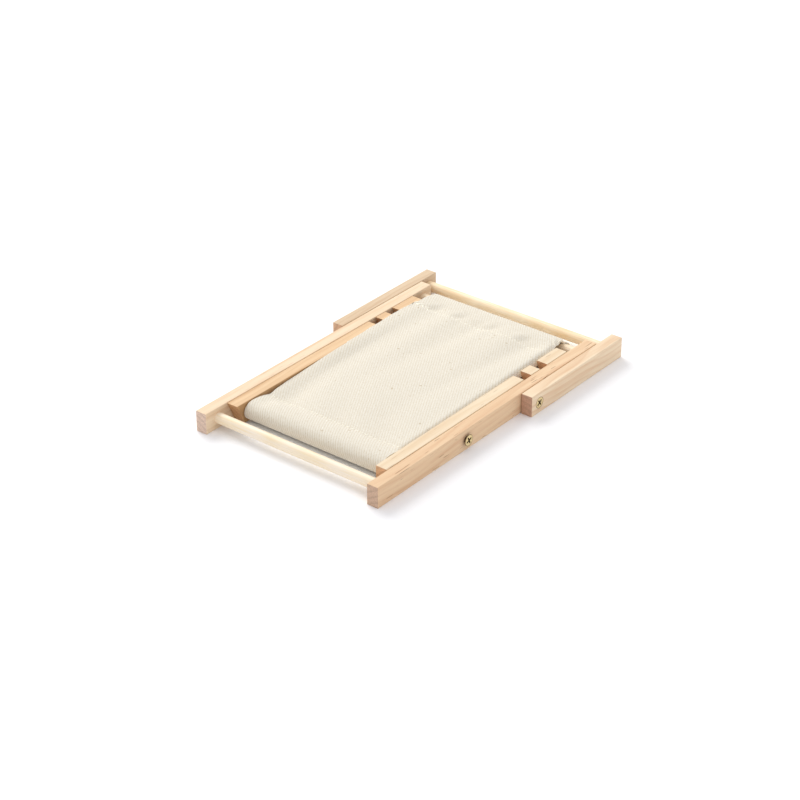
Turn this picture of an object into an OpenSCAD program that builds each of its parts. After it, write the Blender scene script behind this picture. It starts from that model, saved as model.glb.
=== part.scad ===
// Miniature folding deckchair, lying folded flat.
// Three wooden frames turn on four screws: the back frame stands on the ground and leans back,
// the seat frame crosses it, and the prop frame's dowel drops into notches in the seat rails.
// +Y runs from the foot end to the far end, +X is the right side and +Z is up.
// The origin is under the middle of the folded chair, on the surface that it lies on.

/* [Rails] */
// Height of every rail, and so the thickness of the folded chair
rail_h = 12; // [10:0.5:16]
// Width of every rail
rail_w = 7; // [5.5:0.5:10]
// Rounding sanded on the edges of the rails
edge_r = 0.4; // [0.2:0.1:0.8]
// Play between two rails that turn beside each other
rail_gap = 0.4; // [0.3:0.1:1]

/* [Back frame] */
// Width over the outer faces of the back rails
back_w = 121; // [100:1:150]
// Length of the back rails
back_len = 189.5; // [155:0.5:230]
// From the foot end of the back rails to the foot dowel
foot_dowel_inset = 9.5; // [7:0.5:14]
// From the far end of the back rails to the head dowel
head_dowel_inset = 7; // [6:0.5:12]
// From the seat frame's pivot to the prop frame's pivot
pivot_span = 54; // [45:1:65]

/* [Seat frame] */
// Clear space between the foot dowel and the seat rails
foot_clear = 3.5; // [2:0.5:6]
// Clear space between the head dowel and the seat rails
head_clear = 7.5; // [5:0.5:10]
// From the foot end of the seat rails to the knee dowel
knee_dowel_inset = 9; // [7:0.5:12]
// Slant of the saw cut at the foot end of the left seat rail, in degrees
end_slant = 24; // [0:1:30]

/* [Standing positions] */
// Angle between the seat frame and the back frame in the upright notch, in degrees
upright_angle = 75; // [70:0.5:82]
// Angle between the seat frame and the back frame in the reclined notch, in degrees
reclined_angle = 62.5; // [55:0.5:66]
// Slant of the notches, in degrees
notch_slant = 18; // [0:1:25]
// Depth of the notches along their slant
notch_depth = 7; // [5:0.5:8]
// Play of the prop dowel across a notch
notch_play = 0.3; // [0.2:0.05:0.8]

/* [Prop frame] */
// From the prop frame's pivot to its dowel
prop_arm = 71; // [60:1:85]
// Clear space between the back rails and the prop dowel
prop_clear = 4.5; // [2:0.5:10]
// From the foot end of the prop rails to their pivot
prop_pivot_inset = 7; // [6:0.5:12]
// From the prop dowel to the far end of the prop rails
prop_dowel_inset = 7; // [6:0.5:12]

/* [Dowels] */
// Diameter of the dowels
dowel_d = 6; // [4:0.5:7.5]
// Depth that each end of a dowel is glued into its rail
dowel_seat = 5; // [3:0.5:5]
// Chamfer on the ends of the dowels
dowel_chamfer = 0.5; // [0.2:0.1:1]

/* [Pivot screws] */
// Diameter of the smooth shank that a rail turns on
shank_d = 3.5; // [2.5:0.1:5]
// Radial play between the shank and the rail that turns on it
shank_play = 0.05; // [0.02:0.01:0.1]
// Diameter of the screwed part at the root of its thread
core_d = 2.6; // [1.8:0.1:4]
// Depth that the screwed part reaches into the rail that holds it
screw_bite = 4.6; // [3:0.1:5]
// Diameter of the countersunk screw head
head_d = 6.4; // [5:0.1:8]
// Depth of the screw head from its face to the start of the shank
head_h = 1.5; // [1.2:0.1:2.5]
// Height of the upright rim round the head's face
head_rim = 0.2; // [0.1:0.05:0.5]
// Play under the screw head
head_play = 0.1; // [0.05:0.05:0.3]
// Span of the cross recess
recess_span = 4.2; // [2.5:0.1:4.5]
// Width of the recess's arms
recess_w = 0.9; // [0.5:0.1:1.2]
// Depth of the cross recess
recess_depth = 0.8; // [0.5:0.1:1]

/* [Sling] */
// Clear space between each edge of the canvas and the seat rail beside it
sling_side_clear = 1.1; // [0.6:0.1:6]
// Thickness of the canvas
canvas_t = 0.8; // [0.5:0.1:1.2]
// From the front of the knee loop to its seam
knee_seam = 18; // [14:1:24]
// From the back of the head loop to its seam
head_seam = 18; // [14:1:24]
// Height of the knee loop's seam over the middle of the rails
knee_seam_rise = 2.9; // [0:0.1:4]
// Height of the head loop's seam over the middle of the rails
head_seam_rise = 3.9; // [0:0.1:4]
// Width of the hem where the two layers of a loop are sewn together
hem_w = 3; // [2:0.5:5]
// Clear space between the canvas and the dowels, and under and over its loops in the folded chair
cloth_clear = 0.3; // [0.2:0.1:0.5]

/* [Hidden] */
$fn = 48;
bit = 0.01;
through = 1;
dowel_r = dowel_d / 2;
core_r = core_d / 2;
notch_w = dowel_d + notch_play;

// The frames nest inside each other: these are the middles of the right-hand rails.
back_x = (back_w - rail_w) / 2;
seat_x = back_x - rail_w - rail_gap;
prop_x = back_x + rail_w + rail_gap;

// Places along the chair, from the foot end of the back rails. The folded prop frame closes round
// the far end of the back frame, which sets both pivots.
foot_dowel_y = foot_dowel_inset;
head_dowel_y = back_len - head_dowel_inset;
prop_dowel_y = back_len + prop_clear + dowel_r;
prop_pivot_y = prop_dowel_y - prop_arm;
seat_pivot_y = prop_pivot_y - pivot_span;
prop_y = prop_pivot_y - prop_pivot_inset;
prop_len = prop_dowel_y + prop_dowel_inset - prop_y;
seat_y = foot_dowel_y + dowel_r + foot_clear;
seat_len = head_dowel_y - dowel_r - head_clear - seat_y;
knee_dowel_y = seat_y + knee_dowel_inset;
total_len = prop_y + prop_len;

// The prop dowel sits in a notch a little off its floor. The three pivots and dowels make a
// triangle, which gives the place of each notch from the angle that it holds the chair at.
seated_in = notch_depth - dowel_r - notch_play / 2;
seated_rise = rail_h / 2 - seated_in * cos(notch_slant);
function seated_y(angle) = pivot_span * cos(angle)
    + sqrt(pow(prop_arm, 2) - pow(pivot_span * sin(angle) - seated_rise, 2));
function notch_y(angle) = seat_pivot_y + seated_y(angle) - seated_in * sin(notch_slant);
// How far the prop frame swings down to reach the upright notch
prop_swing = atan2(seated_y(upright_angle) * sin(upright_angle) - seated_rise * cos(upright_angle),
    seated_y(upright_angle) * cos(upright_angle) + seated_rise * sin(upright_angle) - pivot_span);

// The loops fill the height of the rails. They are wider than the dowels in them, which draw
// towards the chair's two ends.
sling_w = 2 * (seat_x - rail_w / 2 - sling_side_clear);
loop_r = rail_h / 2 - cloth_clear;
loop_slack = loop_r - canvas_t - dowel_r - cloth_clear;
knee_loop_y = knee_dowel_y + loop_slack;
head_loop_y = head_dowel_y - loop_slack;
knee_seam_y = knee_loop_y - loop_r + knee_seam;
head_seam_y = head_loop_y + loop_r - head_seam;

// Moves a piece from chair measure, from the foot end and the middle of the rails, to the origin.
module place() {
    translate([0, -total_len / 2, rail_h / 2]) children();
}

// Rectangle with rounded corners
module eased_rect(a, b) {
    square([a - 2 * edge_r, b], center = true);
    square([a, b - 2 * edge_r], center = true);
    for (i = [-1, 1], j = [-1, 1])
        translate([i * (a / 2 - edge_r), j * (b / 2 - edge_r)]) circle(edge_r);
}

// Bar of wood with every edge sanded round, from y to y + len, its middle at x
module rail(x, y, len) {
    translate([x, y + len / 2, 0]) intersection() {
        rotate([90, 0, 0]) linear_extrude(len, center = true) eased_rect(rail_w, rail_h);
        rotate([90, 0, 90]) linear_extrude(rail_w, center = true) eased_rect(len, rail_h);
        linear_extrude(rail_h, center = true) eased_rect(rail_w, len);
    }
}

// Round hole along X, from the plane at x for a depth that is negative towards the left
module hole_x(x, y, d, depth) {
    translate([min(x, x + depth), y, 0]) rotate([0, 90, 0]) cylinder(d = d, h = abs(depth));
}

// Blind hole in the inner face of a rail for the end of a dowel. side is 1 on the right, -1 on the left.
module dowel_hole(rail_x, y, side) {
    inner = side * (rail_x - rail_w / 2);
    hole_x(inner - side * through, y, dowel_d, side * (dowel_seat + through));
}

// Hole right through a rail that turns on a screw's shank
module shank_hole(rail_x, y, side) {
    outer = side * (rail_x + rail_w / 2 + through);
    hole_x(outer, y, shank_d + 2 * shank_play, -side * (rail_w + 2 * through));
}

// Cone in the outer face of a rail for a screw head that lies flush, with play all round it
module countersink(rail_x, y, side) {
    face = rail_x + rail_w / 2;
    rim_r = head_d / 2 + head_play;
    rotate([0, 90 * side, 0]) translate([0, y, face - head_rim - head_play])
        cylinder(r = rim_r, h = head_rim + head_play + through);
    rotate([0, 90 * side, 0]) translate([0, y, face - head_h - head_play])
        cylinder(r1 = shank_d / 2 + head_play, r2 = rim_r, h = head_h - head_rim);
}

// Hole in the outer face of a rail that holds a screw's thread
module pilot_hole(rail_x, y, side) {
    outer = side * (rail_x + rail_w / 2);
    hole_x(outer + side * through, y, core_d, -side * (screw_bite + through));
}

// Slot across a seat rail, leaning away from the pivot as it goes down
module notch(y) {
    translate([0, y, rail_h / 2]) rotate([notch_slant, 0, 0])
        translate([-rail_w, -notch_w / 2, -notch_depth]) cube([2 * rail_w, notch_w, 2 * notch_depth]);
}

// Slanting saw cut that takes the lower corner off the foot end of a seat rail
module end_cut() {
    translate([0, seat_y, rail_h / 2]) rotate([end_slant, 0, 0])
        translate([-rail_w, -rail_h, -2 * rail_h]) cube([2 * rail_w, rail_h, 3 * rail_h]);
}

module back_rail(side) {
    color("burlywood") place() difference() {
        rail(side * back_x, 0, back_len);
        dowel_hole(back_x, foot_dowel_y, side);
        dowel_hole(back_x, head_dowel_y, side);
        shank_hole(back_x, seat_pivot_y, side);
        pilot_hole(back_x, prop_pivot_y, side);
    }
}

module seat_rail(side) {
    color("burlywood") place() difference() {
        rail(side * seat_x, seat_y, seat_len);
        dowel_hole(seat_x, knee_dowel_y, side);
        pilot_hole(seat_x, seat_pivot_y, side);
        for (angle = [upright_angle, reclined_angle])
            translate([side * seat_x, 0, 0]) notch(notch_y(angle));
        if (side < 0)
            translate([side * seat_x, 0, 0]) end_cut();
    }
}

module prop_rail(side) {
    color("burlywood") place() difference() {
        rail(side * prop_x, prop_y, prop_len);
        shank_hole(prop_x, prop_pivot_y, side);
        countersink(prop_x, prop_pivot_y, side);
        dowel_hole(prop_x, prop_dowel_y, side);
    }
}

// Dowel with chamfered ends, glued into the rails on both sides of a frame
module dowel(rail_x, y) {
    reach = rail_x - rail_w / 2 + dowel_seat;
    color("wheat") place() translate([0, y, 0]) rotate([0, 90, 0]) rotate_extrude()
        polygon([[0, -reach], [dowel_r - dowel_chamfer, -reach], [dowel_r, dowel_chamfer - reach],
            [dowel_r, reach - dowel_chamfer], [dowel_r - dowel_chamfer, reach], [0, reach]]);
}

// Countersunk screw along +X, the middle of its face at the origin. It stands proud of its rail or
// lies flush in it: the shank runs through that rail, and the core goes on into the inner one.
module screw(proud) {
    shank_len = proud + rail_w + rail_gap / 2;
    thread_len = proud + rail_w + rail_gap + screw_bite;
    rotate([0, 90, 0]) {
        difference() {
            union() {
                translate([0, 0, -head_rim]) cylinder(d = head_d, h = head_rim);
                translate([0, 0, -head_h]) cylinder(d1 = shank_d, d2 = head_d, h = head_h - head_rim);
            }
            for (turn = [0, 90])
                rotate([0, 0, turn]) translate([-recess_span / 2, -recess_w / 2, -recess_depth])
                    cube([recess_span, recess_w, recess_depth + through]);
        }
        translate([0, 0, -shank_len]) cylinder(d = shank_d, h = shank_len - head_h + bit);
        translate([0, 0, -thread_len + core_r]) cylinder(d = core_d, h = thread_len - core_r - head_h);
        translate([0, 0, -thread_len]) cylinder(r1 = core_r / 4, r2 = core_r, h = core_r + bit);
    }
}

// The pair of screws at one pivot, through the rails at rail_x, their faces proud of the wood.
// turns are the angles of the recesses on the left and on the right.
module screw_pair(rail_x, y, proud, turns) {
    face = rail_x + rail_w / 2 + proud;
    color("goldenrod") place() {
        translate([face, y, 0]) rotate([turns[1], 0, 0]) screw(proud);
        mirror([1, 0, 0]) translate([face, y, 0]) rotate([turns[0], 0, 0]) screw(proud);
    }
}

// Outline of a loop from the side: a circle drawn out to its seam, whose layers are seam_t thick
module loop_outline(r, y, seam_at, seam_t) {
    hull() {
        translate([y, 0]) circle(r);
        translate(seam_at) circle(d = seam_t);
    }
}

// Strip of canvas from the side, running straight from one point to another
module strip_outline(a, b) {
    turn = atan2(b[1] - a[1], b[0] - a[0]);
    translate(a) rotate(turn) translate([0, -canvas_t / 2]) square([norm(b - a), canvas_t]);
}

module canvas_sling() {
    knee_seam_at = [knee_seam_y, knee_seam_rise];
    head_seam_at = [head_seam_y, head_seam_rise];
    hem = [hem_w, 0];
    inner_r = loop_r - canvas_t;
    color("linen") place() rotate([90, 0, 90]) linear_extrude(sling_w, center = true) difference() {
        union() {
            loop_outline(loop_r, knee_loop_y, knee_seam_at, 2 * canvas_t);
            loop_outline(loop_r, head_loop_y, head_seam_at, 2 * canvas_t);
            strip_outline(knee_seam_at, head_seam_at);
        }
        loop_outline(inner_r, knee_loop_y, knee_seam_at - hem, bit);
        loop_outline(inner_r, head_loop_y, head_seam_at + hem, bit);
    }
}

back_rail(-1);  // back_rail_left
back_rail(1);  // back_rail_right
dowel(back_x, foot_dowel_y);  // foot_dowel
dowel(back_x, head_dowel_y);  // head_dowel
seat_rail(-1);  // seat_rail_left
seat_rail(1);  // seat_rail_right
dowel(seat_x, knee_dowel_y);  // knee_dowel
prop_rail(-1);  // prop_rail_left
prop_rail(1);  // prop_rail_right
dowel(prop_x, prop_dowel_y);  // prop_dowel
screw_pair(back_x, seat_pivot_y, head_h + head_play, [10, 25]);  // seat_pivot_screws
screw_pair(prop_x, prop_pivot_y, 0, [30, 34]);  // prop_pivot_screws
canvas_sling();
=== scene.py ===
# Miniature folding deckchair, folded flat: pine rails, birch dowels, brass screws and a canvas sling.
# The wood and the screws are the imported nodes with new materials. The sling is made here.
import math
import random

import bpy
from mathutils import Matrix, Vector


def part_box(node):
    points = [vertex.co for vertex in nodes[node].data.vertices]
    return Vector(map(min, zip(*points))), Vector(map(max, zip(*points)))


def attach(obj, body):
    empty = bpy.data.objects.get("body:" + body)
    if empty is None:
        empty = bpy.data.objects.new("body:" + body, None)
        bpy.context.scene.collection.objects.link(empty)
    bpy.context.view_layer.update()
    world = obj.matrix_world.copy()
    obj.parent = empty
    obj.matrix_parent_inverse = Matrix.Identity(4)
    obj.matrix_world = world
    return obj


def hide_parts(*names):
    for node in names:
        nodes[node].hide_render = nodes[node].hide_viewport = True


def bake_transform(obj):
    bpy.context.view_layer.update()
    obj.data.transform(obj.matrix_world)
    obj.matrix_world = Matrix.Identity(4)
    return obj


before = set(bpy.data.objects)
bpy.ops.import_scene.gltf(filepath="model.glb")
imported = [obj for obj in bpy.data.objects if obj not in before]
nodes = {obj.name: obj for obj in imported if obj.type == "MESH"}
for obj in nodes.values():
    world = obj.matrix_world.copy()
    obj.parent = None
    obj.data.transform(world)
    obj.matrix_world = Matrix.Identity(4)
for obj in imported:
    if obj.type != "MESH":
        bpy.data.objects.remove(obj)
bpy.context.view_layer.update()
mm = 0.001
print("frame loaded:", len(nodes), "nodes")


def linear(hexColour):
    # sRGB hex to the linear values that the shaders use
    parts = [int(hexColour[i:i + 2], 16) / 255 for i in (1, 3, 5)]
    return [c / 12.92 if c <= 0.04045 else ((c + 0.055) / 1.055) ** 2.4 for c in parts] + [1]


def deselectAll():
    for o in bpy.context.selected_objects:
        o.select_set(False)


def pick(o):
    # makes one object the only one that an operator acts on
    deselectAll()
    o.select_set(True)
    bpy.context.view_layer.objects.active = o


def addNode(tree, kind, settings=None, **links):
    # adds a node: settings go to its properties or, by name or number, to its sockets, and links come in
    n = tree.nodes.new(kind)
    for key, value in (settings or {}).items():
        if isinstance(key, int) or key in n.inputs:
            n.inputs[key].default_value = value
        else:
            setattr(n, key, value)
    for key, source in links.items():
        byNumber = key[0] == "i" and key[1:].isdigit()
        tree.links.new(source, n.inputs[int(key[1:]) if byNumber else key.replace("_", " ")])
    return n


def newMaterial(name):
    mat = bpy.data.materials.new(name)
    mat.use_nodes = True
    mat.node_tree.nodes.clear()
    return mat, mat.node_tree


def ramp(x, start, over):
    # rises smoothly from 0 at start to 1 a distance over further on, or further back where over is negative
    x = min(max((x - start) / over, 0), 1)
    return x * x * (3 - 2 * x)


def bell(x, width):
    # 1 at 0, and fades to both sides
    return math.exp(-(x / width) ** 2)


view = {
    "target": (2.27, -11.34, 0),   # point on the surface that the camera looks at, mm
    "azimuth": 38.47,
    "elevation": 29.86,
    "distance": 1154.7,            # mm
    "lens": 97.69,
}


def makeCamera():
    a = math.radians(view["azimuth"])
    e = math.radians(view["elevation"])
    back = Vector((math.sin(a) * math.cos(e), -math.cos(a) * math.cos(e), math.sin(e)))
    cam = bpy.data.cameras.new("camera")
    cam.lens = view["lens"]
    cam.sensor_width = 36
    cam.clip_start, cam.clip_end = 0.01, 20
    o = bpy.data.objects.new("camera", cam)
    bpy.context.scene.collection.objects.link(o)
    o.location = (Vector(view["target"]) + back * view["distance"]) * mm
    o.rotation_mode = "QUATERNION"
    o.rotation_quaternion = (-back).to_track_quat("-Z", "Y")
    bpy.context.scene.camera = o


makeCamera()


# Pine, sawn, planed and lightly sanded, without varnish: pale straw earlywood with thin tan latewood
# lines that run along the rail, pinkish grey end grain, and a dry surface with hardly any shine.
pine = {
    "fleck": "#7E5230",
    # painted shade: the two colours of the rough inner face are dark partly for the sheet's shadow on it
    "tornDark": "#97693C",
    "tornLight": "#D2A572",
    "ringWidth": 3.1,       # mm between growth rings
    "latewood": (0.35, 0.86, 0.98),   # where a ring starts to darken, is darkest and is pale again
    "drift": 8,             # mm that the rings move for a rail's wander of 1
    "fibreWidth": 0.35,     # mm
    "fibreLength": 9.0,     # mm
    "patchScale": (280, 14, 280),      # per metre: patches 3.6 mm across the grain and 71 mm along it
    "fleckScale": (1300, 110, 1300),   # per metre: flecks 0.8 mm by 9 mm
    "tornScale": (900, 350, 900),      # per metre: torn fibres 1.1 mm by 2.9 mm
    "poreScale": 2200,                 # per metre: pores 0.45 mm, coarser than real ones so that they show
    "reliefDepth": 0.12,    # mm
    "roughness": 0.62,
}

# How each rail was cut: the colours of its early wood, late wood and ends, where the heart of the tree
# was, across and up from the origin in mm, how strongly the grain wanders, and how strong its lines
# and flecks are. One rail is rough from the saw on its inner face, which is also darkened with painted
# shade where the sheet shadows it; its last entry says how strongly.
cuts = {
    "back_rail_left": {"early": "#EFD7B8", "late": "#D8B085", "end": "#DCC0AC", "heart": (-75, -22),
                       "wander": 1.2, "lines": 0.28, "flecks": 0.3},
    "back_rail_right": {"early": "#EBCDA8", "late": "#D3A47B", "end": "#CCAB91", "heart": (38, 40),
                        "wander": 1.8, "lines": 0.26, "flecks": 0.9},
    "seat_rail_left": {"early": "#E6C59C", "late": "#C99D6E", "end": "#D2A478", "heart": (-20, 30),
                       "wander": 1.0, "lines": 0.30, "flecks": 0.2, "sawnAndShaded": 0.8},
    "seat_rail_right": {"early": "#EDDABC", "late": "#DDBE98", "end": "#E0B48C", "heart": (80, -24),
                        "wander": 1.4, "lines": 0.24, "flecks": 0.4},
    "prop_rail_left": {"early": "#DBC3A4", "late": "#C29F79", "end": "#D2AC8C", "heart": (-95, 20),
                       "wander": 1.5, "lines": 0.30, "flecks": 0.2},
    "prop_rail_right": {"early": "#F0DABB", "late": "#D8AE86", "end": "#C69C82", "heart": (50, -30),
                        "wander": 5.0, "lines": 0.36, "flecks": 0.1},
}


def makePine(name, cut):
    mat, t = newMaterial("planed pine " + name.replace("_", " "))
    place = addNode(t, "ShaderNodeTexCoord")
    sideX, sideZ = cut["heart"]
    # the rings: distance from the heart of the tree, which wanders slowly along the rail
    slow = addNode(t, "ShaderNodeMapping", {"Scale": (6, 6, 6), "Location": (sideX, sideZ, 0)},
                   Vector=place.outputs["Object"])
    drift = addNode(t, "ShaderNodeTexNoise", {"Scale": 1.6, "Detail": 1}, Vector=slow.outputs["Vector"])
    centred = addNode(t, "ShaderNodeVectorMath", {"operation": "SUBTRACT", 1: (sideX * mm, 0, sideZ * mm)},
                      i0=place.outputs["Object"])
    across = addNode(t, "ShaderNodeVectorMath", {"operation": "MULTIPLY", 1: (1, 0, 1)},
                     i0=centred.outputs["Vector"])
    radius = addNode(t, "ShaderNodeVectorMath", {"operation": "LENGTH"}, i0=across.outputs["Vector"])
    wandered = addNode(t, "ShaderNodeMath",
                       {"operation": "MULTIPLY_ADD", 1: cut["wander"] * pine["drift"] * mm},
                       i0=drift.outputs["Fac"], i2=radius.outputs["Value"])
    rings = addNode(t, "ShaderNodeMath", {"operation": "DIVIDE", 1: pine["ringWidth"] * mm},
                    i0=wandered.outputs["Value"])
    phase = addNode(t, "ShaderNodeMath", {"operation": "FRACT"}, i0=rings.outputs["Value"])
    # each ring darkens slowly to its latewood line and then starts again pale
    line = addNode(t, "ShaderNodeValToRGB", {}, Fac=phase.outputs["Value"])
    darkens, darkest, paleAgain = pine["latewood"]
    line.color_ramp.elements[0].position = darkens
    line.color_ramp.elements[0].color = (0, 0, 0, 1)
    line.color_ramp.elements[1].position = darkest
    line.color_ramp.elements[1].color = (1, 1, 1, 1)
    end = line.color_ramp.elements.new(paleAgain)
    end.color = (0.1, 0.1, 0.1, 1)
    # fibres: long thin streaks along the rail
    fibreScale = (1 / pine["fibreWidth"] / mm, 1 / pine["fibreLength"] / mm, 1 / pine["fibreWidth"] / mm)
    stretched = addNode(t, "ShaderNodeMapping", {"Scale": fibreScale}, Vector=place.outputs["Object"])
    fibre = addNode(t, "ShaderNodeTexNoise", {"Scale": 1, "Detail": 3, "Roughness": 0.6},
                    Vector=stretched.outputs["Vector"])
    broad = addNode(t, "ShaderNodeMapping", {"Scale": pine["patchScale"]}, Vector=place.outputs["Object"])
    patch = addNode(t, "ShaderNodeTexNoise", {"Scale": 1, "Detail": 2}, Vector=broad.outputs["Vector"])
    # flecks: short dark resin lines, sparse
    fleckSpace = addNode(t, "ShaderNodeMapping",
                         {"Scale": pine["fleckScale"], "Location": (sideX, 3.1, sideZ)},
                         Vector=place.outputs["Object"])
    fleckNoise = addNode(t, "ShaderNodeTexNoise", {"Scale": 1, "Detail": 0},
                         Vector=fleckSpace.outputs["Vector"])
    fleck = addNode(t, "ShaderNodeMapRange",
                    {"From Min": 0.755, "From Max": 0.80, "To Min": 0, "To Max": 0.6 * cut["flecks"]},
                    Value=fleckNoise.outputs["Fac"])
    # side grain colour
    ringShare = addNode(t, "ShaderNodeMath", {"operation": "MULTIPLY", 1: cut["lines"]},
                        i0=line.outputs["Color"])
    fibreShare = addNode(t, "ShaderNodeMapRange",
                         {"From Min": 0.3, "From Max": 0.75, "To Min": -0.10, "To Max": 0.16},
                         Value=fibre.outputs["Fac"])
    patchShare = addNode(t, "ShaderNodeMapRange",
                         {"From Min": 0.3, "From Max": 0.7, "To Min": -0.15, "To Max": 0.40},
                         Value=patch.outputs["Fac"])
    two = addNode(t, "ShaderNodeMath", {"operation": "ADD"},
                  i0=ringShare.outputs["Value"], i1=fibreShare.outputs["Result"])
    three = addNode(t, "ShaderNodeMath", {"operation": "ADD", "use_clamp": True},
                    i0=two.outputs["Value"], i1=patchShare.outputs["Result"])
    side = addNode(t, "ShaderNodeMix", {"data_type": "RGBA", 6: linear(cut["early"]), 7: linear(cut["late"])},
                   i0=three.outputs["Value"])
    flecked = addNode(t, "ShaderNodeMix", {"data_type": "RGBA", 7: linear(pine["fleck"])},
                      i0=fleck.outputs["Result"], i6=side.outputs[2])
    # end grain where the face looks along the rail
    facing = addNode(t, "ShaderNodeSeparateXYZ", {}, Vector=place.outputs["Normal"])
    along = addNode(t, "ShaderNodeMath", {"operation": "ABSOLUTE"}, i0=facing.outputs["Y"])
    cutFace = addNode(t, "ShaderNodeMapRange", {"From Min": 0.45, "From Max": 0.75},
                      Value=along.outputs["Value"])
    pores = addNode(t, "ShaderNodeTexNoise", {"Scale": pine["poreScale"], "Detail": 2},
                    Vector=place.outputs["Object"])
    poreShade = addNode(t, "ShaderNodeMapRange",
                        {"From Min": 0.3, "From Max": 0.7, "To Min": 0.82, "To Max": 1.1},
                        Value=pores.outputs["Fac"])
    endRing = addNode(t, "ShaderNodeMath", {"operation": "MULTIPLY_ADD", 1: -0.16, 2: 1},
                      i0=line.outputs["Color"])
    endShade = addNode(t, "ShaderNodeMath", {"operation": "MULTIPLY"},
                       i0=poreShade.outputs["Result"], i1=endRing.outputs["Value"])
    endColour = addNode(t, "ShaderNodeVectorMath", {"operation": "SCALE", 0: linear(cut["end"])[:3]},
                        Scale=endShade.outputs["Value"])
    colour = addNode(t, "ShaderNodeMix", {"data_type": "RGBA"},
                     i0=cutFace.outputs["Result"], i6=flecked.outputs[2], i7=endColour.outputs["Vector"])
    # a face that looks inwards, rough from the saw with short torn fibres, and darker with painted shade
    # where the sheet shadows it
    inward = addNode(t, "ShaderNodeMapRange",
                     {"From Min": 0.6, "From Max": 0.8, "To Max": cut.get("sawnAndShaded", 0)},
                     Value=facing.outputs["X"])
    torn = addNode(t, "ShaderNodeMapping", {"Scale": pine["tornScale"]}, Vector=place.outputs["Object"])
    tear = addNode(t, "ShaderNodeTexNoise", {"Scale": 1, "Detail": 2}, Vector=torn.outputs["Vector"])
    tearShade = addNode(t, "ShaderNodeMix",
                        {"data_type": "RGBA", 6: linear(pine["tornDark"]), 7: linear(pine["tornLight"])},
                        i0=tear.outputs["Fac"])
    finished = addNode(t, "ShaderNodeMix", {"data_type": "RGBA"},
                       i0=inward.outputs["Result"], i6=colour.outputs[2], i7=tearShade.outputs[2])
    # fine relief: fibres along the sides, pores on the ends
    relief = addNode(t, "ShaderNodeMix", {"data_type": "FLOAT"},
                     i0=cutFace.outputs["Result"], i2=fibre.outputs["Fac"], i3=pores.outputs["Fac"])
    bump = addNode(t, "ShaderNodeBump", {"Strength": 0.25, "Distance": pine["reliefDepth"] * mm},
                   Height=relief.outputs[0])
    skin = addNode(t, "ShaderNodeBsdfPrincipled",
                   {"Roughness": pine["roughness"], "IOR": 1.45, "Specular IOR Level": 0.3},
                   Base_Color=finished.outputs[2], Normal=bump.outputs["Normal"])
    addNode(t, "ShaderNodeOutputMaterial", {}, Surface=skin.outputs[0])
    return mat


# Birch dowel, turned and sanded smooth: an even cream with faint streaks along it and a low silky shine.
birch = {
    "streakWidth": 0.5,     # mm
    "streakLength": 14,     # mm
    "cloudScale": 45,       # per metre: slow changes of tone about 22 mm long
    "reliefDepth": 0.06,    # mm
    "roughness": 0.42,
}
dowels = {
    "foot_dowel": {"light": "#F8ECDC", "dark": "#F3DCB0"},
    "head_dowel": {"light": "#FFEFD4", "dark": "#EFD0A4"},
    "knee_dowel": {"light": "#FFF4DC", "dark": "#F3DCB0"},
    "prop_dowel": {"light": "#FFEED0", "dark": "#F2CD98"},
}


def makeBirch(name, tone):
    mat, t = newMaterial("turned birch " + name.replace("_", " "))
    place = addNode(t, "ShaderNodeTexCoord")
    scale = (1 / birch["streakLength"] / mm, 1 / birch["streakWidth"] / mm, 1 / birch["streakWidth"] / mm)
    stretched = addNode(t, "ShaderNodeMapping", {"Scale": scale}, Vector=place.outputs["Object"])
    streak = addNode(t, "ShaderNodeTexNoise", {"Scale": 1, "Detail": 2}, Vector=stretched.outputs["Vector"])
    cloud = addNode(t, "ShaderNodeTexNoise", {"Scale": birch["cloudScale"], "Detail": 1},
                    Vector=place.outputs["Object"])
    both = addNode(t, "ShaderNodeMath", {"operation": "ADD"},
                   i0=streak.outputs["Fac"], i1=cloud.outputs["Fac"])
    share = addNode(t, "ShaderNodeMapRange", {"From Min": 0.7, "From Max": 1.35}, Value=both.outputs["Value"])
    colour = addNode(t, "ShaderNodeMix",
                     {"data_type": "RGBA", 6: linear(tone["light"]), 7: linear(tone["dark"])},
                     i0=share.outputs["Result"])
    bump = addNode(t, "ShaderNodeBump", {"Strength": 0.15, "Distance": birch["reliefDepth"] * mm},
                   Height=streak.outputs["Fac"])
    skin = addNode(t, "ShaderNodeBsdfPrincipled", {"Roughness": birch["roughness"], "IOR": 1.45},
                   Base_Color=colour.outputs[2], Normal=bump.outputs["Normal"])
    addNode(t, "ShaderNodeOutputMaterial", {}, Surface=skin.outputs[0])
    return mat


# Brass-plated steel, pressed and tumbled: warm pale yellow metal, softly polished on the face of the
# head, and made nearly brown with painted shade in the recess, under the head and round the rim.
brass = {
    "bright": "#F0DCA8",
    "dull": "#B8965A",
    "shaded": "#5E4018",
    "roughness": 0.34,
    "wornScale": 900,           # per metre: worn spots about 1.1 mm across
    "recess": (0.12, 0.4),      # mm below the face where the shade starts and is full
    "rimRadius": 3.1,           # mm
    "rimWidth": 0.25,           # mm
}


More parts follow.
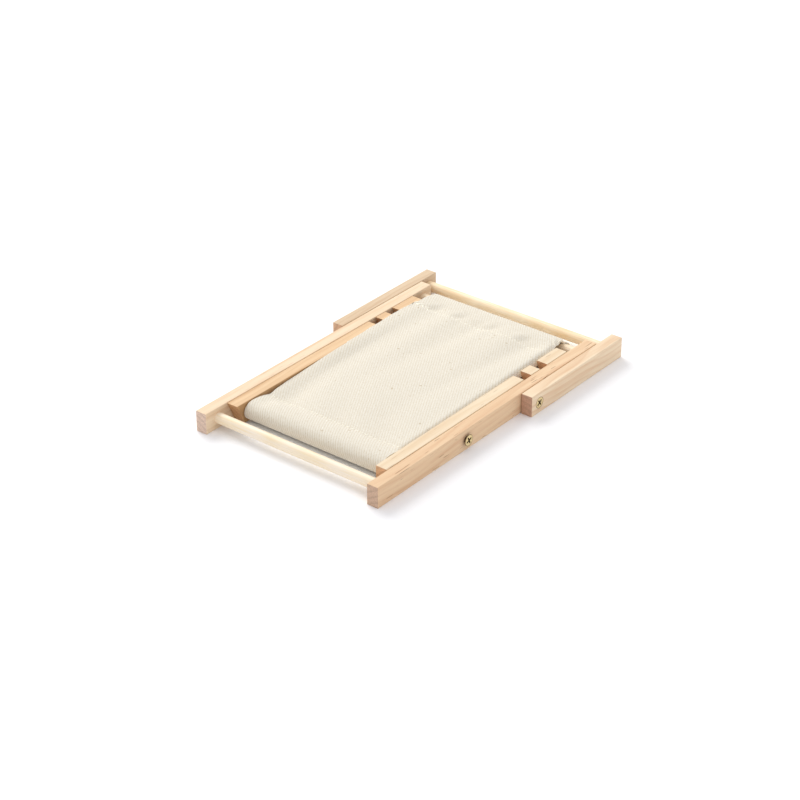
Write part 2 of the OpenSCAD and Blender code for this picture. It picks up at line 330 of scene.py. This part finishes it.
def makeBrass(name, face, pivot):
    # face is how far the face of the head is from the middle of the chair and pivot is the screw's
    # middle, along the chair and up, mm
    mat, t = newMaterial("brass plated steel " + name)
    place = addNode(t, "ShaderNodeTexCoord")
    worn = addNode(t, "ShaderNodeTexNoise", {"Scale": brass["wornScale"], "Detail": 2},
                   Vector=place.outputs["Object"])
    share = addNode(t, "ShaderNodeMapRange", {"From Min": 0.45, "From Max": 0.75, "To Max": 0.7},
                    Value=worn.outputs["Fac"])
    plated = addNode(t, "ShaderNodeMix",
                     {"data_type": "RGBA", 6: linear(brass["bright"]), 7: linear(brass["dull"])},
                     i0=share.outputs["Result"])
    parts = addNode(t, "ShaderNodeSeparateXYZ", {}, Vector=place.outputs["Object"])
    outwards = addNode(t, "ShaderNodeMath", {"operation": "ABSOLUTE"}, i0=parts.outputs["X"])
    # painted shade in the recess and under the head, growing with depth below the face
    shadeStarts, shadeFull = brass["recess"]
    recessShade = addNode(t, "ShaderNodeMapRange",
                    {"From Min": (face - shadeStarts) * mm, "From Max": (face - shadeFull) * mm},
                    Value=outwards.outputs["Value"])
    # painted shade round the rim: the edge of the head darkens where the gap beside it lies in shadow
    centred = addNode(t, "ShaderNodeVectorMath",
                      {"operation": "SUBTRACT", 1: (0, pivot[0] * mm, pivot[1] * mm)},
                      i0=place.outputs["Object"])
    flatOn = addNode(t, "ShaderNodeVectorMath", {"operation": "MULTIPLY", 1: (0, 1, 1)},
                     i0=centred.outputs["Vector"])
    fromAxis = addNode(t, "ShaderNodeVectorMath", {"operation": "LENGTH"}, i0=flatOn.outputs["Vector"])
    rimInside = brass["rimRadius"] - brass["rimWidth"]
    rimShade = addNode(t, "ShaderNodeMapRange",
                  {"From Min": rimInside * mm, "From Max": brass["rimRadius"] * mm, "To Max": 0.85},
                  Value=fromAxis.outputs["Value"])
    # painted shade: the darker of the recess shade and the rim shade turns the brass nearly brown
    dark = addNode(t, "ShaderNodeMath", {"operation": "MAXIMUM"},
                   i0=recessShade.outputs["Result"], i1=rimShade.outputs["Result"])
    colour = addNode(t, "ShaderNodeMix", {"data_type": "RGBA", 7: linear(brass["shaded"])},
                     i0=dark.outputs["Value"], i6=plated.outputs[2])
    rough = addNode(t, "ShaderNodeMapRange",
                    {"To Min": brass["roughness"] - 0.06, "To Max": brass["roughness"] + 0.14},
                    Value=worn.outputs["Fac"])
    skin = addNode(t, "ShaderNodeBsdfPrincipled", {"Metallic": 1},
                   Base_Color=colour.outputs[2], Roughness=rough.outputs["Result"])
    addNode(t, "ShaderNodeOutputMaterial", {}, Surface=skin.outputs[0])
    return mat


# Cotton canvas, unbleached and woven as a 3/1 twill: cream yarns that float over three picks, stepping
# sideways at each one, so that fine ribs climb across the cloth with a soft shadow between them.
canvas = {
    "yarn": "#F1ECE0",
    "gap": "#D6CAB2",
    "seed": "#B79F78",
    "warpPitch": 0.384,     # mm between the yarns that run along the sling
    "pickPitch": 0.707,     # mm between the yarns that run across it
    "harness": 4,           # picks in one repeat of the twill
    "slub": (0.6, 1.6),     # mm, size of a thick or thin place in the yarns, across and along
    "seedScale": 420,       # per metre: specks of seed in cells of 2.4 mm
    "reliefDepth": 0.2,     # mm
    "roughness": 0.9,
}


def makeCanvas():
    mat, t = newMaterial("unbleached cotton twill")
    warpCount = 1 / (canvas["warpPitch"] * mm)
    pickCount = 1 / (canvas["pickPitch"] * mm)
    # the cloth's own measure, in metres across and along the flat cut
    flat = addNode(t, "ShaderNodeUVMap", {"uv_map": "cloth"})
    parts = addNode(t, "ShaderNodeSeparateXYZ", {}, Vector=flat.outputs["UV"])
    warp = addNode(t, "ShaderNodeMath", {"operation": "MULTIPLY", 1: warpCount}, i0=parts.outputs["X"])
    picks = addNode(t, "ShaderNodeMath", {"operation": "MULTIPLY", 1: pickCount}, i0=parts.outputs["Y"])
    column = addNode(t, "ShaderNodeMath", {"operation": "FLOOR"}, i0=warp.outputs["Value"])
    inWarp = addNode(t, "ShaderNodeMath", {"operation": "FRACT"}, i0=warp.outputs["Value"])
    inPick = addNode(t, "ShaderNodeMath", {"operation": "FRACT"}, i0=picks.outputs["Value"])
    # each yarn across starts its float one pick later than the last
    step = addNode(t, "ShaderNodeMath", {"operation": "ADD"},
                   i0=picks.outputs["Value"], i1=column.outputs["Value"])
    repeat = addNode(t, "ShaderNodeMath", {"operation": "DIVIDE", 1: canvas["harness"]},
                     i0=step.outputs["Value"])
    inFloat = addNode(t, "ShaderNodeMath", {"operation": "FRACT"}, i0=repeat.outputs["Value"])
    # height of the warp yarn: up for three picks and down under the fourth
    arch = addNode(t, "ShaderNodeMath", {"operation": "PINGPONG", 1: 0.5}, i0=inFloat.outputs["Value"])
    up = addNode(t, "ShaderNodeMapRange",
                 {"interpolation_type": "SMOOTHSTEP", "From Min": 0.02, "From Max": 0.30},
                 Value=arch.outputs["Value"])
    warpRound = addNode(t, "ShaderNodeMath", {"operation": "PINGPONG", 1: 0.5}, i0=inWarp.outputs["Value"])
    warpBody = addNode(t, "ShaderNodeMapRange", {"interpolation_type": "SMOOTHSTEP", "From Max": 0.35},
                       Value=warpRound.outputs["Value"])
    warpHeight = addNode(t, "ShaderNodeMath", {"operation": "MULTIPLY"},
                         i0=up.outputs["Result"], i1=warpBody.outputs["Result"])
    pickRound = addNode(t, "ShaderNodeMath", {"operation": "PINGPONG", 1: 0.5}, i0=inPick.outputs["Value"])
    pickBody = addNode(t, "ShaderNodeMapRange", {"From Max": 0.5, "To Max": 0.45},
                       Value=pickRound.outputs["Value"])
    height = addNode(t, "ShaderNodeMath", {"operation": "MAXIMUM"},
                     i0=warpHeight.outputs["Value"], i1=pickBody.outputs["Result"])
    # yarns are a little uneven in thickness and tone
    slubWidth, slubLength = canvas["slub"]
    slub = addNode(t, "ShaderNodeMapping", {"Scale": (1 / slubWidth / mm, 1 / slubLength / mm, 1)},
                   Vector=flat.outputs["UV"])
    uneven = addNode(t, "ShaderNodeTexNoise", {"Scale": 1, "Detail": 3}, Vector=slub.outputs["Vector"])
    shade = addNode(t, "ShaderNodeMapRange",
                    {"From Min": 0.3, "From Max": 0.7, "To Min": -0.22, "To Max": 0.22},
                    Value=uneven.outputs["Fac"])
    lit = addNode(t, "ShaderNodeMath", {"operation": "ADD", "use_clamp": True},
                  i0=height.outputs["Value"], i1=shade.outputs["Result"])
    cloth = addNode(t, "ShaderNodeMix",
                    {"data_type": "RGBA", 6: linear(canvas["gap"]), 7: linear(canvas["yarn"])},
                    i0=lit.outputs["Value"])
    # a few specks of cotton seed in the unbleached yarn
    specks = addNode(t, "ShaderNodeTexNoise", {"Scale": canvas["seedScale"], "Detail": 0},
                     Vector=flat.outputs["UV"])
    speck = addNode(t, "ShaderNodeMapRange", {"From Min": 0.79, "From Max": 0.84, "To Max": 0.5},
                    Value=specks.outputs["Fac"])
    specked = addNode(t, "ShaderNodeMix", {"data_type": "RGBA", 7: linear(canvas["seed"])},
                      i0=speck.outputs["Result"], i6=cloth.outputs[2])
    bump = addNode(t, "ShaderNodeBump", {"Strength": 0.5, "Distance": canvas["reliefDepth"] * mm},
                   Height=lit.outputs["Value"])
    finish = {"Roughness": canvas["roughness"], "Specular IOR Level": 0.15,
              "Sheen Weight": 0.15, "Sheen Roughness": 0.6}
    skin = addNode(t, "ShaderNodeBsdfPrincipled", finish,
                   Base_Color=specked.outputs[2], Normal=bump.outputs["Normal"])
    addNode(t, "ShaderNodeOutputMaterial", {}, Surface=skin.outputs[0])
    return mat


# Cut edge of the same canvas: loose cream fibre ends without a weave, in tufts about as wide as a yarn.
edge = {"light": "#FBF5E6", "dark": "#D9C7A6", "tuft": 0.4, "reliefDepth": 0.2}   # tuft and depth in mm


def makeCutEdge():
    mat, t = newMaterial("cut edge of cotton twill")
    place = addNode(t, "ShaderNodeTexCoord")
    tufts = addNode(t, "ShaderNodeTexNoise", {"Scale": 1 / edge["tuft"] / mm, "Detail": 2},
                    Vector=place.outputs["Object"])
    share = addNode(t, "ShaderNodeMapRange", {"From Min": 0.35, "From Max": 0.65}, Value=tufts.outputs["Fac"])
    colour = addNode(t, "ShaderNodeMix",
                     {"data_type": "RGBA", 6: linear(edge["dark"]), 7: linear(edge["light"])},
                     i0=share.outputs["Result"])
    bump = addNode(t, "ShaderNodeBump", {"Strength": 0.6, "Distance": edge["reliefDepth"] * mm},
                   Height=tufts.outputs["Fac"])
    skin = addNode(t, "ShaderNodeBsdfPrincipled", {"Roughness": 0.95, "Specular IOR Level": 0.1},
                   Base_Color=colour.outputs[2], Normal=bump.outputs["Normal"])
    addNode(t, "ShaderNodeOutputMaterial", {}, Surface=skin.outputs[0])
    return mat


# Cotton sewing thread, twisted: a little brighter than the canvas and less rough.
thread = {"dark": "#FFF6D8", "light": "#FFFFFA", "plyScale": 5000, "roughness": 0.65}   # plies 0.2 mm


def makeThread():
    mat, t = newMaterial("cotton sewing thread")
    place = addNode(t, "ShaderNodeTexCoord")
    ply = addNode(t, "ShaderNodeTexNoise", {"Scale": thread["plyScale"], "Detail": 1},
                  Vector=place.outputs["Object"])
    colour = addNode(t, "ShaderNodeMix",
                     {"data_type": "RGBA", 6: linear(thread["dark"]), 7: linear(thread["light"])},
                     i0=ply.outputs["Fac"])
    skin = addNode(t, "ShaderNodeBsdfPrincipled", {"Roughness": thread["roughness"]},
                   Base_Color=colour.outputs[2])
    addNode(t, "ShaderNodeOutputMaterial", {}, Surface=skin.outputs[0])
    return mat


def setMaterial(o, mat):
    o.data.materials.clear()
    o.data.materials.append(mat)


for name, cut in cuts.items():
    setMaterial(nodes[name], makePine(name, cut))
for name, tone in dowels.items():
    setMaterial(nodes[name], makeBirch(name, tone))
for name in ("seat_pivot_screws", "prop_pivot_screws"):
    low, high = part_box(name)
    pivot = ((low.y + high.y) / 2 / mm, (low.z + high.z) / 2 / mm)
    setMaterial(nodes[name], makeBrass(name.replace("_", " "), high.x / mm, pivot))
print("wood and metal finished")


# Chair measure is used for the sling: y from the foot end of the back rails, z up from the surface, mm.
chairMiddle = -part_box("back_rail_left")[0].y / mm


def dowelPlace(name):
    # y and z of a dowel's middle in chair measure, and its radius
    low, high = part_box(name)
    return (low.y + high.y) / 2 / mm + chairMiddle, (low.z + high.z) / 2 / mm, (high.z - low.z) / 2 / mm


def railPlace(name):
    # a rail's inner face, its far end in chair measure and its top
    low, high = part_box(name)
    return low.x / mm, high.y / mm + chairMiddle, high.z / mm


# A ramp below is where it starts and how far it takes to reach 1, with a minus where it runs backwards.
sling = {
    "width": 91.0,
    "thickness": 0.9,
    "cell": 1.0,              # size of the mesh's cells
    "kneeNoseY": 20.6,        # furthest point of the knee loop
    "headNoseY": 186.9,       # furthest point of the head loop
    "kneeSeam": (39.0, 9.3),  # y and z of the seams
    "headSeam": (165.0, 11.7),
    "hem": 5.0,               # cloth past a seam, under the sheet
    "clearance": 0.05,        # kept between the cloth and the wood
    "overSurface": 0.25,      # added to that above the surface
    "dowels": [dowelPlace("knee_dowel"), dowelPlace("head_dowel")],
    "rail": railPlace("seat_rail_right"),
    "railTop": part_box("seat_rail_left")[1].z / mm,
    # where the two long edges run: y and x. The sheet was sewn a little askew and lies over the
    # inner edge of the left seat rail near the head.
    "leftEdge": [(20, -45.3), (37.5, -45.2), (40.5, -44.2), (54, -45.4), (93, -45.9), (112, -46.3),
                 (148, -47.1), (165, -46.7), (176, -45.3), (190, -44.6)],
    "rightEdge": [(20, 45.7), (60, 45.8), (125, 46.0), (156, 46.0), (167, 45.4), (176, 44.2), (190, 42.0)],
    "upper": (8, 1.5),        # ramp up from the loops' under side to the sheet
    "sheet": {"fromSeam": (-6, 8), "toNose": (-1, -10)},   # ramps at the sheet's two ends
    # the cut edges wander: how many random places, how far apart they are, how far out and how far in
    "wobble": {"seed": 4, "places": 40, "apart": 5, "out": 0.25, "reach": 6},
    # the under layer sticks out of the head loop's right end, less so round the nose of the loop
    "openEnd": {"out": 6.2, "under": (10.8, -2.0), "along": (173, 2), "nose": (181, 3), "lost": 0.5},
    # that end is crumpled: a wave in y and one in z, each with its height, its turns per mm and a shift
    "crumple": {"across": (38, 5), "along": (172, 5),
                "inY": {"high": 1.3, "perX": 1.5, "perZ": 0.9, "shift": 1.0},
                "inZ": {"high": 0.8, "perX": 1.4, "perY": 1.1, "shift": 0.4}},
    # the knee loop dips behind its left end
    "dip": {"x": -39, "wide": 4, "y": 31, "long": 6, "deep": 0.7},
    # the sheet climbs on to the left seat rail: ramps across, from its foot end and up to its head end
    "climb": {"across": (-36, -9.5), "start": (50, 54), "stop": (172, -6)},
    # the right edge rolls down beside the seat rail, more between the notches and the head seam
    "roll": {"down": 2.2, "wide": 2.6, "stop": (178, -8),
             "more": 0.9, "moreStart": (122, 8), "moreStop": (166, -8)},
    # gathers that run from the head seam down the sheet: x at the seam, depth, width, length and drift
    "gathers": [
        {"x": -30, "deep": 1.00, "wide": 7.0, "long": 120, "drift": 0.07},
        {"x": -13, "deep": 0.70, "wide": 4.5, "long": 34, "drift": 0.05},
        {"x": -3, "deep": 1.75, "wide": 7.0, "long": 75, "drift": 0.16},
        {"x": 9, "deep": 0.45, "wide": 4.0, "long": 22, "drift": 0.05},
        {"x": 32, "deep": 2.00, "wide": 7.0, "long": 85, "drift": 0.15},
    ],
    # they are sharpest at the seam, lose that over a short way and end soon past it
    "gatherFade": {"left": 0.45, "lost": 0.55, "over": 25, "past": 6},
    "puckers": [-33, -16.5, 5.5, 27],   # x of the dents that the thread pulls just past the head seam
    "pucker": {"past": 4.0, "deep": 0.85, "wide": 3.4, "long": 3.6, "slant": 0.5,
               "ridge": 0.45, "ridgeAt": 1.4},
    # a long hollow inside the left edge, deepest behind the knee loop
    "hollow": {"x": -34, "wide": 6, "y": 46, "long": 24, "deep": 0.9, "always": 0.20},
    "raisedEdges": {"high": 0.3, "across": (37, 7)},
    # small waves where the cloth comes off the knee loop, and two slow ones over the whole sheet
    "kneeWaves": {"high": 0.34, "past": 6, "long": 18, "across": 4.6, "along": 9},
    "slowWaves": [{"high": 0.20, "across": 9.0, "along": 31, "shift": 0.5},
                  {"high": 0.12, "across": -21, "along": 13.0, "shift": 2.0}],
}


def slingPath(s):
    # middle line of the cloth from the side, in order from the knee hem to the head hem
    knee, head, t = s["kneeNoseY"], s["headNoseY"], s["thickness"]
    ky, kz = s["kneeSeam"]
    hy, hz = s["headSeam"]
    return [
        (ky + s["hem"], kz - 1.1 * t),
        (ky + 1, kz - 1.15 * t),
        (ky - 3.2, kz - 3.0),
        (ky - 8.5, 4.2),
        (ky - 13.0, 2.0),
        (knee + 2.8, 2.4),
        (knee + 0.6, 5.0),
        (knee + 0.9, 8.5),
        (knee + 4.1, 11.0),
        (knee + 9.3, 11.4),
        (ky - 4.0, 10.5),
        (ky, kz),
        (ky + 6, kz + 0.35),
        (ky + 35, kz + 1.1),
        (hy - 45, hz - 0.6),
        (hy - 6, hz + 0.3),
        (hy, hz),
        (hy + 6, hz + 0.2),
        (head - 8, 11.6),
        (head - 2.6, 10.2),
        (head - 0.4, 7.0),
        (head - 0.9, 3.4),
        (head - 4.0, 1.2),
        (head - 9.0, 1.8),
        (hy + 5.0, 6.4),
        (hy - 1, hz - 1.3 * t),
        (hy - s["hem"], hz - 1.25 * t),
    ]


def curvePoint(p, u):
    # point on a Catmull-Rom curve through the points p, u from 0 to len(p) - 1
    i = min(int(u), len(p) - 2)
    f = u - i
    a, b, c, d = (p[max(i - 1, 0)], p[i], p[i + 1], p[min(i + 2, len(p) - 1)])
    out = []
    for k in range(2):
        out.append(0.5 * (2 * b[k] + (c[k] - a[k]) * f + (2 * a[k] - 5 * b[k] + 4 * c[k] - d[k]) * f * f
                          + (3 * b[k] - a[k] - 3 * c[k] + d[k]) * f ** 3))
    return out


def evenLine(points, cell):
    # points about a cell apart along the curve, and its length
    steps = 2000
    fine = [curvePoint(points, i * (len(points) - 1) / steps) for i in range(steps + 1)]
    run = [0]
    for a, b in zip(fine, fine[1:]):
        run.append(run[-1] + math.dist(a, b))
    count = round(run[-1] / cell)
    out, j = [], 0
    for i in range(count + 1):
        want = run[-1] * i / count
        while j < steps - 1 and run[j + 1] < want:
            j += 1
        f = min((want - run[j]) / (run[j + 1] - run[j]), 1)
        out.append([fine[j][k] + (fine[j + 1][k] - fine[j][k]) * f for k in range(2)])
    return out, run[-1]


def between(table, y):
    # straight-line reading of a table of pairs
    for (y0, x0), (y1, x1) in zip(table, table[1:]):
        if y <= y1:
            return x0 + (x1 - x0) * max(y - y0, 0) / (y1 - y0)
    return table[-1][1]


def lift(s, x, y):
    # how far the sheet rises or dips between its seams, mm
    kneeY, headY = s["kneeSeam"][0], s["headSeam"][0]
    z = 0
    fade = s["gatherFade"]
    for g in s["gathers"]:
        back = headY - y
        if back > 0:
            strength = bell(back, g["long"]) * (fade["left"] + fade["lost"] * math.exp(-back / fade["over"]))
        else:
            strength = bell(back, fade["past"])
        off = x - (g["x"] - g["drift"] * back)
        z -= g["deep"] * strength * bell(off, g["wide"])
    dent = s["pucker"]
    for x0 in s["puckers"]:
        # each dent runs slantwise, with a ridge on its left that catches the light
        past = y - headY - dent["past"]
        off = (x - x0 - dent["slant"] * past) / dent["wide"]
        ridge = dent["ridge"] * bell(off + dent["ridgeAt"], 1)
        z += dent["deep"] * bell(past, dent["long"]) * (ridge - bell(off, 1))
    hollow = s["hollow"]
    deep = hollow["deep"] * bell(y - hollow["y"], hollow["long"]) + hollow["always"]
    z -= deep * bell(x - hollow["x"], hollow["wide"])
    z += s["raisedEdges"]["high"] * ramp(abs(x), *s["raisedEdges"]["across"])
    w = s["kneeWaves"]
    z += w["high"] * bell(y - kneeY - w["past"], w["long"]) * math.sin(x / w["across"] + y / w["along"])
    for w in s["slowWaves"]:
        z += w["high"] * math.sin(x / w["across"] + y / w["along"] + w["shift"])
    return z


def clearOfWood(s, x, y, z):
    # keeps a point of the cloth's middle layer half a thickness outside the dowels, between the seat
    # rails where it is lower than their tops, and above the surface
    half = s["thickness"] / 2 + s["clearance"]
    for dowelY, dowelZ, radius in s["dowels"]:
        away = math.hypot(y - dowelY, z - dowelZ)
        least = radius + half
        if away < least:
            y = dowelY + (y - dowelY) * least / away
            z = dowelZ + (z - dowelZ) * least / away
    face, end, top = s["rail"]
    if z < top + half and y < end + half:
        room = face - half
        x = min(max(x, -room), room)
    return x, y, max(z, half + s["overSurface"])


def slingPoint(s, across, y, z, wobble):
    # where a point of the flat cloth comes to lie: across is its place from the left edge to the right
    # one, 0 to 1, and y and z are on the side view of the sling
    left, right = between(s["leftEdge"], y), between(s["rightEdge"], y)
    out = s["openEnd"]
    lostAtNose = 1 - out["lost"] * ramp(y, *out["nose"])
    right += out["out"] * ramp(z, *out["under"]) * ramp(y, *out["along"]) * lostAtNose
    x = left + (right - left) * across
    edges = s["wobble"]
    near = 1 - ramp(min(across, 1 - across) * s["width"], 0, edges["reach"])
    at = y / edges["apart"]
    before, after = wobble[int(at) % edges["places"]], wobble[(int(at) + 1) % edges["places"]]
    x += edges["out"] * (before * (1 - at % 1) + after * (at % 1)) * near
    upper = ramp(z, *s["upper"])
    fromSeam, seamRamp = s["sheet"]["fromSeam"]
    toNose, noseRamp = s["sheet"]["toNose"]
    inSheet = ramp(y, s["kneeSeam"][0] + fromSeam, seamRamp) * ramp(y, s["headNoseY"] + toNose, noseRamp)
    z += lift(s, x, y) * inSheet * upper
    dip = s["dip"]
    z -= dip["deep"] * bell(x - dip["x"], dip["wide"]) * bell(y - dip["y"], dip["long"]) * upper
    crumple = s["crumple"]
    crumpled = ramp(x, *crumple["across"]) * ramp(y, *crumple["along"])
    c = crumple["inY"]
    y += crumpled * (c["high"] * math.sin(x * c["perX"] + z * c["perZ"]) - c["shift"])
    c = crumple["inZ"]
    z += crumpled * (c["high"] * math.sin(x * c["perX"] + y * c["perY"]) - c["shift"])
    climb = s["climb"]
    climbed = ramp(x, *climb["across"]) * ramp(y, *climb["start"]) * ramp(y, *climb["stop"]) * upper
    z += max(s["railTop"] + s["thickness"] / 2 + s["clearance"] - z, 0) * climbed
    roll = s["roll"]
    deeper = 1 + roll["more"] * ramp(y, *roll["moreStart"]) * ramp(y, *roll["moreStop"])
    atEdge = 1 - ramp(right - x, 0, roll["wide"])
    z -= roll["down"] * deeper * atEdge * ramp(y, *roll["stop"]) * inSheet * upper
    return clearOfWood(s, x, y, z)


def makeSling(s):
    line, length = evenLine(slingPath(s), s["cell"])
    rows = len(line) - 1
    columns = round(s["width"] / s["cell"])
    deselectAll()
    bpy.ops.mesh.primitive_grid_add(x_subdivisions=columns, y_subdivisions=rows, size=1, location=(0, 0, 0))
    o = bpy.context.active_object
    o.name = o.data.name = "canvas_sheet"
    mesh = o.data
    cloth = mesh.uv_layers.new(name="cloth")
    share = {v.index: (v.co.x + 0.5, round((v.co.y + 0.5) * rows)) for v in mesh.vertices}
    for loop in mesh.loops:
        across, row = share[loop.vertex_index]
        cloth.data[loop.index].uv = (across * s["width"] * mm, row / rows * length * mm)
    loose = random.Random(s["wobble"]["seed"])
    wobble = [loose.uniform(-1, 1) for i in range(s["wobble"]["places"])]
    top = {}
    for v in mesh.vertices:
        across, row = share[v.index]
        x, y, z = slingPoint(s, across, *line[row], wobble)
        v.co = (x * mm, (y - chairMiddle) * mm, z * mm)
        top[(round(across * columns), row)] = (x, y, z)
    mesh.uv_layers.active = cloth
    if "UVMap" in mesh.uv_layers:
        mesh.uv_layers.remove(mesh.uv_layers["UVMap"])
    solid = o.modifiers.new("thickness", "SOLIDIFY")
    solid.thickness = s["thickness"] * mm
    solid.offset = 0
    solid.material_offset_rim = 1   # the rim takes the cut edge's material
    o.data.materials.append(makeCanvas())
    o.data.materials.append(makeCutEdge())
    pick(o)
    bpy.ops.object.modifier_apply(modifier=solid.name)
    bpy.ops.object.shade_smooth_by_angle(angle=math.radians(50))
    return o, length, top, line


# The seams: a row of lock stitches across the sheet at each loop, with a few back stitches at the left
# end of the head seam, sewn over each other.
seam = {
    "stitch": 2.1,
    "gap": 0.9,
    "thread": 0.5,
    "inset": 2.0,       # from the sheet's edges to the first and last stitch
    "proud": 0.06,      # a stitch's middle above the cloth's face
    # back stitches: where the first is, how far apart they are, how far they lie to each side of the
    # seam, how they are turned, in degrees, and how much thicker they are
    "back": {"first": 1.4, "apart": 1.9, "aside": 0.9, "turn": 26, "thicker": 1.45},
}


def makeStitches(name, s, top, line, seamPlace, backStitches):
    # the row of the mesh that is nearest the seam, in the sheet and not in the hem under it
    seamY, seamZ = seamPlace
    sheetRows = [r for r in range(len(line)) if line[r][1] > seamZ - s["thickness"] / 2]
    row = min(sheetRows, key=lambda r: abs(line[r][0] - seamY))
    columns = max(c for c, r in top)
    deselectAll()
    bpy.ops.mesh.primitive_uv_sphere_add(segments=8, ring_count=5, radius=0.5)
    first = bpy.context.active_object
    first.name = name
    made = []
    pitch = seam["stitch"] + seam["gap"]
    count = int((s["width"] - 2 * seam["inset"]) / pitch)
    spots = [((i + 0.5) * pitch + seam["inset"], 0, 0, 1) for i in range(count)]
    back = seam["back"]
    for i in range(backStitches):
        sign = (-1) ** i
        spots.append((back["first"] + back["apart"] * i, sign * back["aside"], sign * back["turn"],
                      back["thicker"]))
    for along, aside, turn, size in spots:
        c = min(along / s["width"] * columns, columns - 1)
        a, b = top[(int(c), row)], top[(int(c) + 1, row)]
        f = c - int(c)
        x, y, z = (a[k] + (b[k] - a[k]) * f for k in range(3))
        slope = math.atan2(b[2] - a[2], b[0] - a[0])
        copy = bpy.data.objects.new(name, first.data.copy())
        bpy.context.scene.collection.objects.link(copy)
        thick = seam["thread"] * size * mm
        copy.scale = (seam["stitch"] * size * mm, thick, thick)
        copy.rotation_euler = (0, -slope, math.radians(turn))
        height = z + s["thickness"] / 2 + seam["proud"]
        copy.location = (x * mm, (y + aside - chairMiddle) * mm, height * mm)
        made.append(copy)
    bpy.data.objects.remove(first)
    deselectAll()
    for o in made:
        o.select_set(True)
    bpy.context.view_layer.objects.active = made[0]
    bpy.ops.object.transform_apply(location=True, rotation=True, scale=True)
    bpy.ops.object.join()
    stitches = bpy.context.active_object
    stitches.name = stitches.data.name = name
    bpy.ops.object.shade_smooth()
    return stitches


sheet, slingLength, top, line = makeSling(sling)
print("sling made, cloth", sling["width"], "x", round(slingLength, 1), "mm")
kneeStitches = makeStitches("knee_seam_stitches", sling, top, line, sling["kneeSeam"], 0)
headStitches = makeStitches("head_seam_stitches", sling, top, line, sling["headSeam"], 6)
threadFinish = makeThread()
for o, body in ((kneeStitches, "seat_frame"), (headStitches, "back_frame")):
    setMaterial(o, threadFinish)
    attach(o, body)
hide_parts("canvas_sling")
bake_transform(sheet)
print("sling sewn")


# A large softbox behind and to the left, and an even pale room. Lengths are in metres.
studio = {
    "floor": "#FDFDFE",
    "floorSize": 6,
    "softbox": {"place": (-1.45, 0.55, 1.3), "size": 1.3, "power": 27, "colour": "#FFFDF8"},
    "room": "#FAFBFF",
    "roomStrength": 0.86,
}


def makeFloor():
    deselectAll()
    bpy.ops.mesh.primitive_plane_add(size=studio["floorSize"], location=(0, 0, 0))
    floor = bpy.context.active_object
    floor.name = "floor"
    mat, t = newMaterial("white paper sweep")
    skin = addNode(t, "ShaderNodeBsdfPrincipled",
                   {"Base Color": linear(studio["floor"]), "Roughness": 0.9, "Specular IOR Level": 0.1})
    addNode(t, "ShaderNodeOutputMaterial", {}, Surface=skin.outputs[0])
    setMaterial(floor, mat)


def addSoftbox(s):
    lamp = bpy.data.lights.new("softbox", "AREA")
    lamp.shape = "RECTANGLE"
    lamp.size = lamp.size_y = s["size"]
    lamp.energy = s["power"]
    lamp.color = linear(s["colour"])[:3]
    o = bpy.data.objects.new("softbox", lamp)
    bpy.context.scene.collection.objects.link(o)
    o.location = s["place"]
    o.rotation_mode = "QUATERNION"
    o.rotation_quaternion = (-Vector(s["place"])).to_track_quat("-Z", "Y")


makeFloor()
addSoftbox(studio["softbox"])
world = bpy.data.worlds.new("studio")
bpy.context.scene.world = world
world.use_nodes = True
room = world.node_tree.nodes["Background"]
room.inputs["Color"].default_value = linear(studio["room"])
room.inputs["Strength"].default_value = studio["roomStrength"]
bpy.context.scene.view_settings.view_transform = "Standard"
print("stage set")
